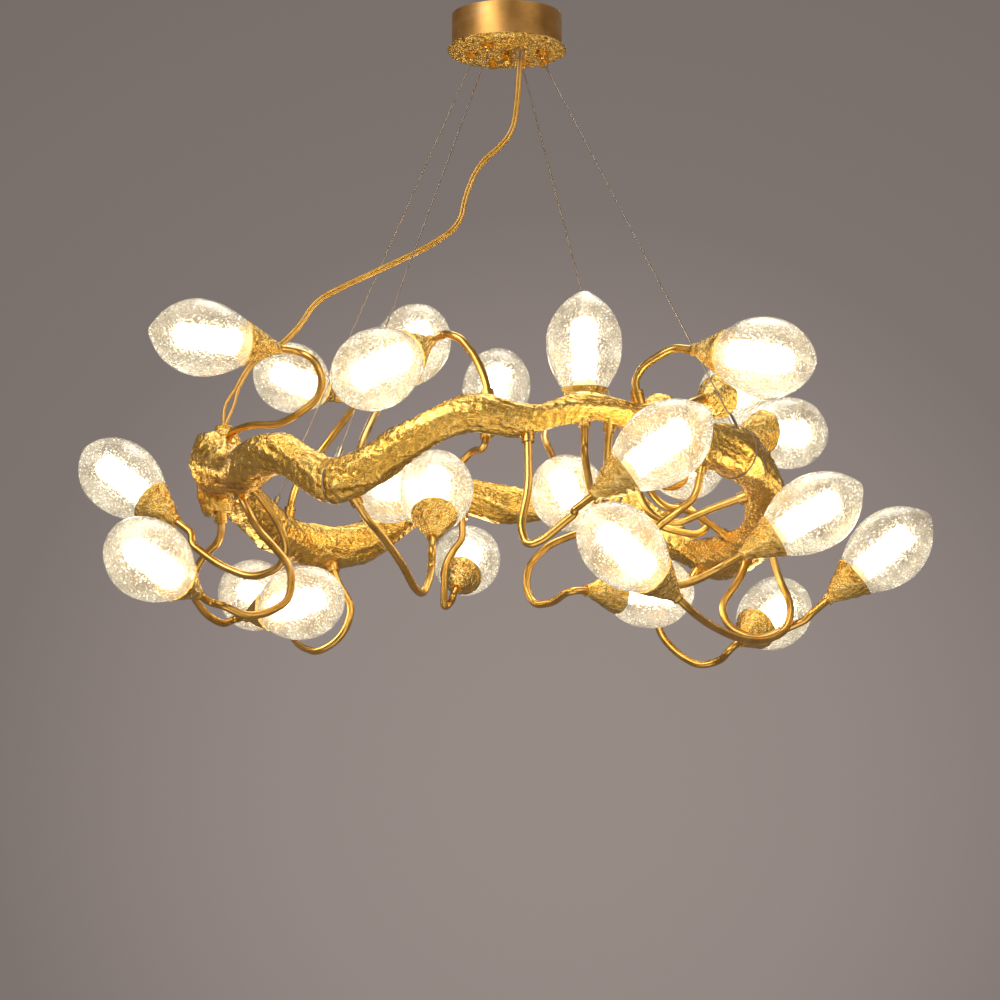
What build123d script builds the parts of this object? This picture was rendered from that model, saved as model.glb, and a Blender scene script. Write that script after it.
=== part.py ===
"""Brass branch chandelier: a cast branch ring hung on four cables, with curled arms and seeded glass shades."""

import os
from math import cos, radians, sin, sqrt, tan

from build123d import *

# Driving dimensions in millimetres: the ceiling is at z = 0 and the canopy axis is the z axis
DROP = 507.0
RING_RADIUS = 292.0
RING_CENTRE = Vector(-16, 0, -DROP)
FIT = 0.4

CANOPY_R = 60.0
CANOPY_DEPTH = 36.0
CANOPY_WALL = 1.5
PLATE_R = 65.5
PLATE_T = 7.0
PLATE_FLOOR = 2.5

BRACKET_L = 96.0
BRACKET_W = 22.0
BRACKET_T = 3.0
SCREW_SPACING = 70.0
SCREW_HOLE_R = 2.25
ROD_R = 3.0
ROD_TAIL = 6.0
BALL_R = 7.0
BALL_CLEARANCE = 0.4

CABLE_R = 0.75
CABLE_END_GAP = 0.8
CABLE_CIRCLE = 39.0
CABLE_TOP_ANGLES = (174, 238, 62, 354)
CABLE_RING_ANGLES = (148, 238, 58, 328)
GRIPPER_R = 5.0
GRIPPER_HEAD_R = 6.5
GRIPPER_HEAD_L = 4.0
GRIPPER_SHANK = 18.0
NUT_BAND = 3.5
NUT_T = 4.0
NIPPLE_R = 3.0
NIPPLE_L = 9.0
NIPPLE_STROKE = 2.5
NIPPLE_CLEARANCE = 0.35
CLAMP_R = 3.2
CLAMP_L = 13.0
SLING_T = 1.6

CORD_R = 3.0
GLAND_POS = (14, -13)
GLAND_R = 6.0
GLAND_L = 9.0
PLUG_POS = ((-16, 32), (41, 26))
PLUG_R = 4.5
PLUG_L = 7.0
SHANK_STEP = 1.5

HEAD_ANGLE = 185
HEAD_SPAN = 4
STRETCHES = {"front": (187, 312), "right": (312, 405), "back": (405, 542)}
CAP_R = 10.0
CAP_H = 8.0
CAP_OFFSET = 6.0

ARM_R = 4.0
COVER_SCREW_R = 2.2
COVER_SCREW_H = 1.6
COLLAR_R = 6.5
COLLAR_L = 16.0
COLLAR_SINK = 8.0
GRUB_R = 1.25
GRUB_L = 3.4

BLOCK_X = -22.0
BLOCK_SIZE = (16.0, 34.0, 14.0)
BLOCK_PITCH = 10.0
BLOCK_SCREW_R = 2.5
BLOCK_SCREW_DEPTH = 6.0

CUP_L = 40.0
CUP_RIM_R = 25.0
CUP_FOOT_R = 6.5
CUP_SOCKET = 9.0
CUP_WALL = 2.4
CUP_NECK = 5.0
CUP_FLOOR = 10.0
CUP_THROAT = 20.0
CUP_RUN = 22.0
SHADE_R = 40.0
SHADE_LOW_SLOPE = 36.0
SHADE_TOP_SLOPE = 55.0
BELLY_RISE = 48.0
BELLY_LOW_R = 75.0
BELLY_TOP_R = 58.0
NOSE_R = 14.0
SHADE_WALL = 3.0
SHADE_SEAT = 8.0
HOLDER_R = 11.0
HOLDER_RISE = 10.0
LAMP_R = 11.5
LAMP_L = 63.0

# The branch in sections round the ring: angle, height, half width across, half height
BRANCH = [
    (172, -9, 21, 23), (182, -7, 22, 24), (187, -6, 22, 24), (198, -10, 22, 23), (208, -16, 21, 22),
    (220, -6, 22, 22), (229, -22, 19, 20), (238, -44, 21, 21), (247, -27, 19, 20), (256, -5, 17, 18), (266, 17, 18, 18), (275, 12, 17, 17),
    (284, 21, 14, 14), (292, 26, 14, 14), (301, 21, 16, 17), (312, 8, 19, 19), (320, 3, 23, 25),
    (328, 0, 25, 26), (338, -8, 22, 24), (349, -24, 21, 21), (360, -45, 22, 22), (371, -60, 22, 22),
    (383, -69, 22, 24), (395, -67, 20, 21), (405, -47, 19, 20), (412, -19, 18, 19), (418, 4, 17, 18),
    (430, 11, 17, 17), (440, 7, 18, 18), (448, 10, 21, 22), (458, 17, 17, 18), (467, 4, 18, 19),
    (477, -29, 21, 22), (490, -50, 23, 24), (508, -37, 22, 24), (519, -19, 22, 24), (530, -10, 21, 23),
    (542, -7, 22, 24),
]
# The stump that the cord enters: height, half size
STUMP = [(-43, 13), (-36, 20), (-17, 25), (3, 26), (23, 24), (38, 25), (47, 21)]
COVER_ANGLES = (262, 451)
COVER_L = 48.0
COVER_W = 15.0
COVER_T = 3.0

# Each arm: ring angle, bend points as (out, along, up) from the branch centre, foot of the cup, aim of the shade
ARMS = [
    (186, [(-12, 32, 42), (-32, 62, 46), (-60, 85, 42), (-80, 105, 50), (-100, 115, 65), (-105, 120, 85),
           (-95, 125, 105)], (-60, 125, 115), (0.95, 0.35, 0.05)),
    (143, [(-10, -5, 55), (-15, -35, 90), (-25, -85, 150), (-25, -105, 170), (-10, -105, 180)],
     (5, -85, 170), (-0.15, 1.0, 0.1)),
    (270, [(-10, -5, 35), (-15, -15, 60), (-20, -30, 80), (-25, -40, 85)], (-30, -60, 80), (0.65, -0.6, -0.45)),
    (242, [(-35, -10, 40), (-80, -25, 70)], (-145, -45, 110), (-0.7, -0.05, 0.7)),
    (101, [(-20, -15, 40), (-30, -30, 55)], (-45, -40, 65), (0.55, -0.25, 0.8)),
    (294, [(-20, 5, -40), (-40, 15, -80), (-70, 20, -90), (-100, 25, -70), (-125, 30, -25)],
     (-135, 35, 5), (0.0, 0.0, 1.0)),
    (301, [(0, -10, 35), (10, -5, 50), (30, 5, 60)], (60, 20, 60), (0.9, 0.35, -0.2)),
    (349, [(-60, 0, -20), (-95, 0, -35), (-120, 0, -25), (-135, 5, 0), (-130, 30, 45), (-110, 70, 95)],
     (-80, 120, 120), (0.3, 0.9, 0.2)),
    (333, [(-45, 70, 40)], (-55, 120, 50), (0.25, 0.95, 0.1)),
    (277, [(10, 0, -70), (20, -10, -110), (30, -5, -130), (35, 10, -125), (50, 40, -100)],
     (55, 55, -85), (0.1, 0.8, 0.6)),
    (318, [(-10, -5, -55), (-20, -20, -70), (-40, -30, -85), (-55, -35, -105), (-60, -30, -130), (-50, -15, -145),
           (-30, 10, -140), (-15, 35, -125)], (0, 55, -110), (0.65, 0.55, 0.5)),
    (14, [(-25, -35, -45), (-50, -40, -75), (-45, -50, -100), (-20, -70, -115), (5, -85, -105), (25, -100, -95)],
     (45, -110, -75), (0.75, -0.2, 0.65)),
    (208, [(-30, 0, -35), (-45, 0, -55), (-55, -5, -75), (-55, -20, -95), (-35, -45, -105), (-10, -75, -90),
           (10, -105, -65)], (20, -120, -40), (0.5, -0.65, 0.6)),
    (201, [(-15, 15, -40), (-20, 40, -65), (-30, 65, -85), (-40, 95, -110), (-30, 120, -145), (-5, 130, -160),
           (20, 135, -165), (45, 140, -155)], (70, 140, -145), (0.75, 0.6, 0.3)),
    (130, [(-20, 0, -42), (-35, -10, -70), (-30, -5, -95), (-15, 0, -110), (5, 10, -120), (45, 5, -110),
           (90, -10, -85)], (90, 5, -65), (-0.6, 0.8, 0.1)),
    (187, [(-5, 0, -68), (15, -15, -85), (25, -30, -105), (25, -50, -120), (10, -70, -140), (-10, -85, -150)],
     (-35, -90, -140), (-0.65, 0.75, 0.1)),
    (240, [(-25, 10, -35), (-55, 10, -50), (-95, 10, -75), (-125, 5, -95), (-150, 0, -100), (-170, -5, -85),
           (-185, -10, -65)], (-195, -15, -35), (-0.65, -0.35, 0.7)),
    (108, [(-42, -5, 20)], (-75, 20, 15), (-0.8, 0.6, -0.15)),
    (97, [(-5, 0, -50), (0, 10, -62), (0, 20, -80), (5, 20, -110), (10, 20, -130), (15, 10, -120)],
     (20, 5, -105), (0.85, -0.25, 0.5)),
    (293, [(-55, 10, 20), (-80, 0, 25), (-120, -10, 15), (-180, 10, 5), (-250, 45, 5), (-315, 80, 5)],
     (-310, 85, -10), (0.85, -0.25, -0.45)),
    (4, [(15, -10, -60), (25, -30, -90), (15, -60, -120), (-15, -95, -135), (-50, -130, -135), (-85, -175, -125)],
     (-120, -220, -105), (-0.7, -0.45, 0.55)),
    (50, [(-10, -40, 25), (-15, -70, 5), (-25, -90, -10), (-40, -85, -20), (-65, -65, -15), (-90, -45, 0),
          (-120, -20, -10), (-160, -5, -25), (-195, 5, -40), (-220, 10, -65), (-235, 0, -90), (-240, -15, -110),
          (-245, -45, -110)], (-245, -90, -100), (0.95, -0.25, 0.05)),
    (35, [(-20, 12, -38), (-40, 25, -50), (-50, 30, -65), (-45, 25, -90), (-35, 10, -110), (-20, -10, -125),
          (-5, -30, -120)], (5, -50, -100), (0.85, 0.3, 0.45)),
    (20, [(-35, 0, 25), (-65, -5, 40), (-95, -10, 40), (-115, -15, 55)], (-115, -25, 75), (0.75, 0.65, 0.25)),
]
# The cord from the gland to the stump: right, back and up from the ring centre
CORD = [
    (27, -9, 405), (23, -6, 378), (10, -5, 360), (-14, -6, 340), (-29, -8, 305), (-34, -9, 272),
    (-65, -10, 249), (-110, -10, 227), (-155, -10, 206), (-190, -10, 188), (-206, -10, 160), (-230, -11, 136),
    (-258, -13, 120), (-273, -18, 90),
]


def ring_frame(angle):
    """The outward, along and up directions of the ring at an angle."""
    turn = radians(angle)
    return Vector(cos(turn), sin(turn), 0), Vector(-sin(turn), cos(turn), 0), Vector(0, 0, 1)


def branch_at(angle):
    """Height, half width and half height of the branch, smoothed between its sections."""
    angle = angle if angle >= BRANCH[1][0] else angle + 360
    index = max(1, min(len(BRANCH) - 3, sum(section[0] <= angle for section in BRANCH) - 1))
    before, left, right, after = BRANCH[index - 1:index + 3]
    t = (angle - left[0]) / (right[0] - left[0])
    sizes = []
    for a, b, c, d in zip(before[1:], left[1:], right[1:], after[1:]):
        sizes.append(b + 0.5 * t * (c - a + t * (2 * a - 5 * b + 4 * c - d + t * (3 * (b - c) + d - a))))
    return sizes


def branch_centre(angle):
    """A point on the centre line of the branch."""
    out, along, up = ring_frame(angle)
    return RING_CENTRE + out * RING_RADIUS + up * branch_at(angle)[0]


def section_plane(angle):
    """The plane across the branch, with x outward and y up."""
    back = branch_centre(angle - 2) - branch_centre(angle + 2)
    return Plane(origin=branch_centre(angle), x_dir=ring_frame(angle)[0], z_dir=back)


def arm_route(arm):
    """The points of an arm from its seat in the branch to its cup, with the start and aim directions."""
    angle, bends, foot, aim = arm
    axes = ring_frame(angle)
    centre = branch_centre(angle)

    def place(offset):
        return axes[0] * offset[0] + axes[1] * offset[1] + axes[2] * offset[2]

    leave = place(bends[0]).normalized()
    aim_vector = place(aim).normalized()
    plane = section_plane(angle)
    height, half_width, half_height = branch_at(angle)
    across = leave.dot(plane.x_dir) / half_width
    upward = leave.dot(plane.y_dir) / half_height
    reach = 1 / sqrt(across ** 2 + upward ** 2)
    if abs(angle - HEAD_ANGLE) < HEAD_SPAN:
        stump_end = STUMP[-1][0] if leave.Z > 0 else -STUMP[0][0]
        reach = min(STUMP[4][1] / sqrt(1 - leave.Z ** 2), stump_end / abs(leave.Z))
    seat = centre + leave * reach
    foot_point = centre + place(foot)
    points = [seat - leave * (COLLAR_SINK / 2)] + [centre + place(bend) for bend in bends]
    points += [foot_point - aim_vector * CUP_RUN, foot_point + aim_vector * CUP_SOCKET]
    return points, seat, leave, foot_point, aim_vector


def bend_radii(points):
    """A bend radius at each inner point that leaves a short straight run on both sides."""
    radii = []
    for before, point, after in zip(points, points[1:], points[2:]):
        first, second = point - before, after - point
        turn = radians(first.get_angle(second))
        radii.append(0.45 * min(first.length, second.length) / tan(turn / 2))
    return radii


def tube_along(points, radius):
    """Sweep a round tube along straight runs joined by arcs."""
    with BuildLine() as route:
        FilletPolyline(*points, radius=bend_radii(points))
    with BuildSketch(Plane(origin=points[0], z_dir=points[1] - points[0])) as profile:
        Circle(radius)
    sweep(sections=profile.sketch, path=route.line)


def branch_sections(first, last):
    """Draw the sections of one stretch of the branch and loft through them."""
    faces = []
    for angle, height, half_width, half_height in BRANCH:
        if first <= angle <= last:
            with BuildSketch(section_plane(angle)) as section:
                Ellipse(half_width, half_height)
            faces.append(section.sketch.face())
    loft(sections=faces)


def drill_seats(owner):
    """Bore the seats of the arm collars that one stretch carries, with room for their screws."""
    for number in SEATS[owner]:
        points, seat, leave, foot, aim = ROUTES[number]
        with Locations(Plane(origin=seat - leave * COLLAR_SINK, z_dir=leave)):
            Cylinder(COLLAR_R, 3 * COLLAR_L, align=(Align.CENTER, Align.CENTER, Align.MIN), mode=Mode.SUBTRACT)
        with Locations(Plane(origin=seat + leave * (COLLAR_L - COLLAR_SINK - 4 * GRUB_R), z_dir=leave)):
            Cylinder(COLLAR_R + GRUB_L, COLLAR_L, align=(Align.CENTER, Align.CENTER, Align.MIN), mode=Mode.SUBTRACT)


def cut_covers(angle):
    """Mill the pocket of a wiring cover into the top of the branch."""
    half_height = branch_at(angle)[2]
    with Locations(section_plane(angle)):
        with Locations((0, half_height - COVER_T, 0)):
            Box(COVER_W + FIT, 6 * COVER_T, COVER_L + FIT,
                align=(Align.CENTER, Align.MIN, Align.CENTER), mode=Mode.SUBTRACT)


def shade_outline(inset):
    """Points of the egg-shaped glass, from its mouth to its tip, moved inward by an inset."""
    belly_z = CUP_L + BELLY_RISE
    low_r, top_r, nose_r = BELLY_LOW_R - inset, BELLY_TOP_R - inset, NOSE_R - inset
    low_turn, top_turn = radians(SHADE_LOW_SLOPE), radians(SHADE_TOP_SLOPE)
    low_x, top_x = SHADE_R - BELLY_LOW_R, SHADE_R - BELLY_TOP_R
    nose_x = NOSE_R * cos(top_turn)
    climb = (top_x + BELLY_TOP_R * cos(top_turn) - nose_x) / tan(top_turn)
    nose_z = belly_z + BELLY_TOP_R * sin(top_turn) + climb - NOSE_R * sin(top_turn)

    def arc(x, z, radius, turn):
        return x + radius * cos(turn), z + radius * sin(turn)

    mouth_r = CUP_RIM_R - 2 * CUP_WALL - FIT
    neck_r = CUP_RIM_R - CUP_WALL - FIT
    return ((mouth_r - inset, CUP_L - SHADE_SEAT), (neck_r - inset, CUP_L),
            arc(low_x, belly_z, low_r, -low_turn), arc(low_x, belly_z, low_r, -low_turn / 2),
            (SHADE_R - inset, belly_z), arc(top_x, belly_z, top_r, top_turn / 2),
            arc(top_x, belly_z, top_r, top_turn), arc(0, nose_z, nose_r, top_turn),
            arc(0, nose_z, nose_r, (top_turn + radians(90)) / 2), (0, nose_z + nose_r))


def save(builder, name):
    """Label a sub-part and write its file."""
    builder.part.label = name
    export_step(builder.part, f"parts/{name}.step")


def stretch_of(angle):
    """The stretch of branch that an angle of the ring lies on."""
    if abs(angle - HEAD_ANGLE) < HEAD_SPAN:
        return "head"
    for name, (first, last) in STRETCHES.items():
        if first <= angle < last or first <= angle + 360 < last:
            return name


os.makedirs("parts", exist_ok=True)
ROUTES = [arm_route(arm) for arm in ARMS]
SEATS = {"head": [], "front": [], "right": [], "back": []}
for number, arm in enumerate(ARMS):
    SEATS[stretch_of(arm[0])].append(number)
CUP_FRAMES = [Plane(origin=foot, z_dir=aim).location for points, seat, leave, foot, aim in ROUTES]
COLLAR_FRAMES = []
for arm, (points, seat, leave, foot, aim) in zip(ARMS, ROUTES):
    outward = leave.cross(ring_frame(arm[0])[1])
    COLLAR_FRAMES.append(Plane(origin=seat - leave * COLLAR_SINK, x_dir=outward, z_dir=leave).location)

# Canopy: ceiling bracket with a centre rod, drum, plate and the ball nut that clamps them
plate_top = -CANOPY_DEPTH
plate_bottom = plate_top - PLATE_T
rod_end = plate_bottom - ROD_TAIL
with BuildPart() as ceiling_bracket:
    Box(BRACKET_L, BRACKET_W, BRACKET_T, align=(Align.CENTER, Align.CENTER, Align.MAX))
    fillet(ceiling_bracket.edges().filter_by(Axis.Z), BRACKET_W / 2 - 0.5)
    with GridLocations(SCREW_SPACING, 0, 2, 1):
        Cylinder(SCREW_HOLE_R, 4 * BRACKET_T, mode=Mode.SUBTRACT)
    with Locations((0, 0, -BRACKET_T)):
        Cylinder(2 * ROD_R, BRACKET_T, align=(Align.CENTER, Align.CENTER, Align.MAX))
    with Locations((0, 0, -BRACKET_T / 2)):
        Cylinder(ROD_R, 4 * BRACKET_T, align=(Align.CENTER, Align.CENTER, Align.MAX), mode=Mode.SUBTRACT)
save(ceiling_bracket, "ceiling_bracket")

with BuildPart() as canopy_rod:
    with Locations((0, 0, -BRACKET_T / 2)):
        Cylinder(ROD_R, -rod_end - BRACKET_T / 2, align=(Align.CENTER, Align.CENTER, Align.MAX))
save(canopy_rod, "canopy_rod")

with BuildPart() as canopy_drum:
    Cylinder(CANOPY_R, CANOPY_DEPTH, align=(Align.CENTER, Align.CENTER, Align.MAX))
    Cylinder(CANOPY_R - CANOPY_WALL, 3 * CANOPY_DEPTH, mode=Mode.SUBTRACT)
save(canopy_drum, "canopy_drum")

cable_tops = [Vector(CABLE_CIRCLE * cos(radians(a)), CABLE_CIRCLE * sin(radians(a)), 0) for a in CABLE_TOP_ANGLES]
with BuildPart() as canopy_plate:
    with BuildSketch(Plane.XZ) as plate_section:
        with BuildLine():
            Polyline((0, plate_bottom), (PLATE_R - PLATE_T / 2, plate_bottom))
            ThreePointArc((PLATE_R - PLATE_T / 2, plate_bottom), (PLATE_R, plate_bottom + PLATE_T / 2),
                          (PLATE_R - PLATE_T / 2, plate_top))
            Polyline((PLATE_R - PLATE_T / 2, plate_top), (CANOPY_R - 3 * CANOPY_WALL, plate_top),
                     (CANOPY_R - 3 * CANOPY_WALL, plate_bottom + PLATE_FLOOR), (0, plate_bottom + PLATE_FLOOR),
                     (0, plate_bottom))
        make_face()
    revolve(axis=Axis.Z)
    with Locations((0, 0, plate_top)):
        Cylinder(ROD_R + FIT, 2 * CANOPY_DEPTH, mode=Mode.SUBTRACT)
    with Locations(*cable_tops):
        Cylinder(GRIPPER_R, 4 * CANOPY_DEPTH, mode=Mode.SUBTRACT)
    with Locations(GLAND_POS):
        Cylinder(GLAND_R - SHANK_STEP, 4 * CANOPY_DEPTH, mode=Mode.SUBTRACT)
    with Locations(*PLUG_POS):
        Cylinder(PLUG_R - SHANK_STEP, 4 * CANOPY_DEPTH, mode=Mode.SUBTRACT)
save(canopy_plate, "canopy_plate")

with BuildPart() as ball_nut:
    with Locations((0, 0, plate_bottom - BALL_R - BALL_CLEARANCE + 1)):
        Sphere(BALL_R)
    with Locations((0, 0, plate_bottom - BALL_CLEARANCE)):
        Cylinder(2 * BALL_R, BALL_R, align=(Align.CENTER, Align.CENTER, Align.MIN), mode=Mode.SUBTRACT)
        Cylinder(ROD_R + BALL_CLEARANCE, plate_bottom - rod_end + BALL_CLEARANCE,
                 align=(Align.CENTER, Align.CENTER, Align.MAX), mode=Mode.SUBTRACT)
save(ball_nut, "ball_nut")

with BuildPart() as blanking_plugs:
    for spot in PLUG_POS:
        with Locations((*spot, plate_bottom)):
            Cylinder(PLUG_R, PLUG_L, align=(Align.CENTER, Align.CENTER, Align.MAX))
            Cylinder(PLUG_R - SHANK_STEP, PLATE_FLOOR, align=(Align.CENTER, Align.CENTER, Align.MIN))
save(blanking_plugs, "blanking_plugs")

# Cable grippers: a body through the plate, a lock nut inside and a sprung release nipple below
with BuildPart() as gripper_bodies:
    with Locations(*[top + Vector(0, 0, plate_bottom) for top in cable_tops]):
        Cylinder(GRIPPER_HEAD_R, GRIPPER_HEAD_L, align=(Align.CENTER, Align.CENTER, Align.MAX))
        Cylinder(GRIPPER_R, GRIPPER_SHANK, align=(Align.CENTER, Align.CENTER, Align.MIN))
    with Locations(*[top + Vector(0, 0, plate_bottom - GRIPPER_HEAD_L) for top in cable_tops]):
        Cylinder(NIPPLE_R + NIPPLE_CLEARANCE, NIPPLE_L + 1, align=(Align.CENTER, Align.CENTER, Align.MIN),
                 mode=Mode.SUBTRACT)
save(gripper_bodies, "gripper_bodies")

with BuildPart() as gripper_nuts:
    with BuildSketch(Plane.XY.offset(plate_bottom + PLATE_FLOOR)):
        with Locations(*[(top.X, top.Y) for top in cable_tops]):
            RegularPolygon(GRIPPER_R + NUT_BAND, 6)
            Circle(GRIPPER_R, mode=Mode.SUBTRACT)
    extrude(amount=NUT_T)
save(gripper_nuts, "gripper_nuts")

nipple_bottom = plate_bottom - GRIPPER_HEAD_L - NIPPLE_STROKE - FIT
for index, top in enumerate(cable_tops):
    with BuildPart() as gripper_nipple:
        with Locations(top + Vector(0, 0, nipple_bottom)):
            Cylinder(NIPPLE_R, NIPPLE_L, align=(Align.CENTER, Align.CENTER, Align.MIN))
        chamfer(gripper_nipple.edges().sort_by(Axis.Z)[0], 0.8)
    save(gripper_nipple, f"gripper_nipple_{index + 1}")

with BuildPart() as terminal_block:
    with Locations((BLOCK_X, 0, plate_bottom + PLATE_FLOOR)):
        Box(*BLOCK_SIZE, align=(Align.CENTER, Align.CENTER, Align.MIN))
    with Locations((BLOCK_X, 0, plate_bottom + PLATE_FLOOR + BLOCK_SIZE[2])):
        with GridLocations(0, BLOCK_PITCH, 1, 3):
            Cylinder(BLOCK_SCREW_R, BLOCK_SCREW_DEPTH, align=(Align.CENTER, Align.CENTER, Align.MAX),
                     mode=Mode.SUBTRACT)
save(terminal_block, "terminal_block")

with BuildPart() as cord_gland:
    with Locations((*GLAND_POS, plate_bottom)):
        Cone(GLAND_R - SHANK_STEP, GLAND_R, GLAND_L, align=(Align.CENTER, Align.CENTER, Align.MAX))
        Cylinder(GLAND_R - SHANK_STEP, PLATE_FLOOR + GLAND_L, align=(Align.CENTER, Align.CENTER, Align.MIN))
        Cylinder(CORD_R, 2 * CANOPY_DEPTH, mode=Mode.SUBTRACT)
save(cord_gland, "cord_gland")

# Suspension: straight cables from the nipples to clamps on the slings round the branch
clamp_frames = []
for index, (top, angle) in enumerate(zip(cable_tops, CABLE_RING_ANGLES)):
    sections = branch_at(angle)
    plane = section_plane(angle)
    hang = plane.origin + plane.y_dir * (sections[2] + SLING_T + FIT)
    start = top + Vector(0, 0, nipple_bottom - CABLE_END_GAP - CABLE_R)
    line = (start - hang).normalized()
    clamp_frames.append(Plane(origin=hang, z_dir=line))
    length = (start - hang).length - CLAMP_L - CABLE_END_GAP
    with BuildPart() as cable:
        with Locations(Plane(origin=hang + line * (CLAMP_L + CABLE_END_GAP), z_dir=line)):
            Cylinder(CABLE_R, length, align=(Align.CENTER, Align.CENTER, Align.MIN))
    save(cable, f"cable_{index + 1}")

with BuildPart() as cable_slings:
    for angle in CABLE_RING_ANGLES:
        height, half_width, half_height = branch_at(angle)
        with BuildSketch(section_plane(angle)):
            Ellipse(half_width + FIT + SLING_T, half_height + FIT + SLING_T)
            Ellipse(half_width + FIT, half_height + FIT, mode=Mode.SUBTRACT)
        extrude(amount=SLING_T / 2, both=True)
save(cable_slings, "cable_slings")

with BuildPart() as cable_clamps:
    for frame in clamp_frames:
        with Locations(frame):
            Cylinder(CLAMP_R, CLAMP_L, align=(Align.CENTER, Align.CENTER, Align.MIN))
    add(cable_slings.part, mode=Mode.SUBTRACT)
save(cable_clamps, "cable_clamps")

# Branch: the stump and three cast stretches that meet face to face
stump_centre = branch_centre(HEAD_ANGLE)
cap_centre = stump_centre + Vector(CAP_OFFSET, 0, 0)
with BuildPart() as branch_head:
    for height, half_size in STUMP:
        with BuildSketch(Plane(stump_centre + Vector(0, 0, height))):
            Ellipse(0.9 * half_size, half_size)
    loft()
    drill_seats("head")
    with Locations(cap_centre + Vector(0, 0, STUMP[-1][0])):
        Cylinder(CORD_R + 1, 3 * CAP_H, mode=Mode.SUBTRACT)
save(branch_head, "branch_head")

with BuildPart() as branch_front:
    branch_sections(*STRETCHES["front"])
    add(branch_head.part, mode=Mode.SUBTRACT)
    drill_seats("head")
    drill_seats("front")
    cut_covers(COVER_ANGLES[0])
save(branch_front, "branch_front")

with BuildPart() as branch_right:
    branch_sections(*STRETCHES["right"])
    drill_seats("right")
save(branch_right, "branch_right")

with BuildPart() as branch_back:
    branch_sections(*STRETCHES["back"])
    add(branch_head.part, mode=Mode.SUBTRACT)
    drill_seats("back")
    cut_covers(COVER_ANGLES[1])
save(branch_back, "branch_back")

with BuildPart() as cord_cap:
    with Locations(cap_centre + Vector(0, 0, STUMP[-1][0])):
        Cylinder(CAP_R, CAP_H, align=(Align.CENTER, Align.CENTER, Align.MIN))
    fillet(cord_cap.edges().sort_by(Axis.Z)[-1], CAP_H / 3)
    with Locations(cap_centre + Vector(0, 0, STUMP[-1][0])):
        Cylinder(CORD_R, 4 * CAP_H, mode=Mode.SUBTRACT)
save(cord_cap, "cord_cap")

with BuildPart() as wiring_covers:
    for angle in COVER_ANGLES:
        with Locations(section_plane(angle)):
            with Locations((0, branch_at(angle)[2] - COVER_T, 0)):
                Box(COVER_W, COVER_T, COVER_L, align=(Align.CENTER, Align.MIN, Align.CENTER))
save(wiring_covers, "wiring_covers")

with BuildPart() as cover_screws:
    for angle in COVER_ANGLES:
        with Locations(section_plane(angle)):
            with Locations((0, branch_at(angle)[2], -COVER_L / 3), (0, branch_at(angle)[2], COVER_L / 3)):
                Cylinder(COVER_SCREW_R, COVER_SCREW_H, rotation=(-90, 0, 0), align=(Align.CENTER, Align.CENTER, Align.MIN))
save(cover_screws, "cover_screws")

# Arms: a collar in the branch with its grub screw, and a bent tube to each cup
with BuildPart() as collar:
    Cylinder(COLLAR_R, COLLAR_L, align=(Align.CENTER, Align.CENTER, Align.MIN))
    Cylinder(ARM_R, 4 * COLLAR_L, mode=Mode.SUBTRACT)
    with Locations((0, 0, COLLAR_L - 2 * GRUB_R)):
        Cylinder(GRUB_R, 2 * COLLAR_R, rotation=(0, 90, 0), align=(Align.CENTER, Align.CENTER, Align.MIN),
                 mode=Mode.SUBTRACT)
with BuildPart() as arm_collars:
    with Locations(*COLLAR_FRAMES):
        add(collar.part)
save(arm_collars, "arm_collars")

with BuildPart() as grub:
    with Locations((ARM_R, 0, COLLAR_L - 2 * GRUB_R)):
        Cylinder(GRUB_R, GRUB_L, rotation=(0, 90, 0), align=(Align.CENTER, Align.CENTER, Align.MIN))
    Cylinder(ARM_R, 4 * COLLAR_L, mode=Mode.SUBTRACT)
with BuildPart() as collar_screws:
    with Locations(*COLLAR_FRAMES):
        add(grub.part)
save(collar_screws, "collar_screws")

for owner, numbers in SEATS.items():
    with BuildPart() as arms:
        for number in numbers:
            tube_along(ROUTES[number][0], ARM_R)
    save(arms, f"arms_{owner}")

# Lights: cup, lampholder, lamp and shade, each turned once on its own axis and set on every arm
holder_top = CUP_L + HOLDER_RISE
with BuildPart() as cup:
    with BuildSketch(Plane.XZ):
        with BuildLine():
            Polyline((ARM_R, 0), (CUP_FOOT_R, 0), (CUP_FOOT_R, CUP_NECK),
                     (CUP_FOOT_R + CUP_WALL, CUP_NECK + CUP_WALL))
            ThreePointArc((CUP_FOOT_R + CUP_WALL, CUP_NECK + CUP_WALL), (0.66 * CUP_RIM_R, 0.55 * CUP_L),
                          (CUP_RIM_R, CUP_L))
            seat_z = CUP_L - SHADE_SEAT
            Polyline((CUP_RIM_R, CUP_L), (CUP_RIM_R - CUP_WALL, CUP_L), (CUP_RIM_R - 2 * CUP_WALL, seat_z),
                     (CUP_RIM_R - 3.3 * CUP_WALL, seat_z), (HOLDER_R + FIT, CUP_THROAT),
                     (CUP_FOOT_R + FIT, CUP_FLOOR), (ARM_R, CUP_FLOOR), (ARM_R, 0))
        make_face()
    revolve(axis=Axis.Z)
with BuildPart() as cups:
    with Locations(*CUP_FRAMES):
        add(cup.part)
save(cups, "cups")

with BuildPart() as lampholder:
    with BuildSketch(Plane.XZ):
        with BuildLine():
            Polyline((0, CUP_FLOOR), (CUP_FOOT_R, CUP_FLOOR), (HOLDER_R, CUP_THROAT + FIT), (HOLDER_R, holder_top),
                     (0, holder_top), (0, CUP_FLOOR))
        make_face()
    revolve(axis=Axis.Z)
with BuildPart() as lampholders:
    with Locations(*CUP_FRAMES):
        add(lampholder.part)
save(lampholders, "lampholders")

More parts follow.
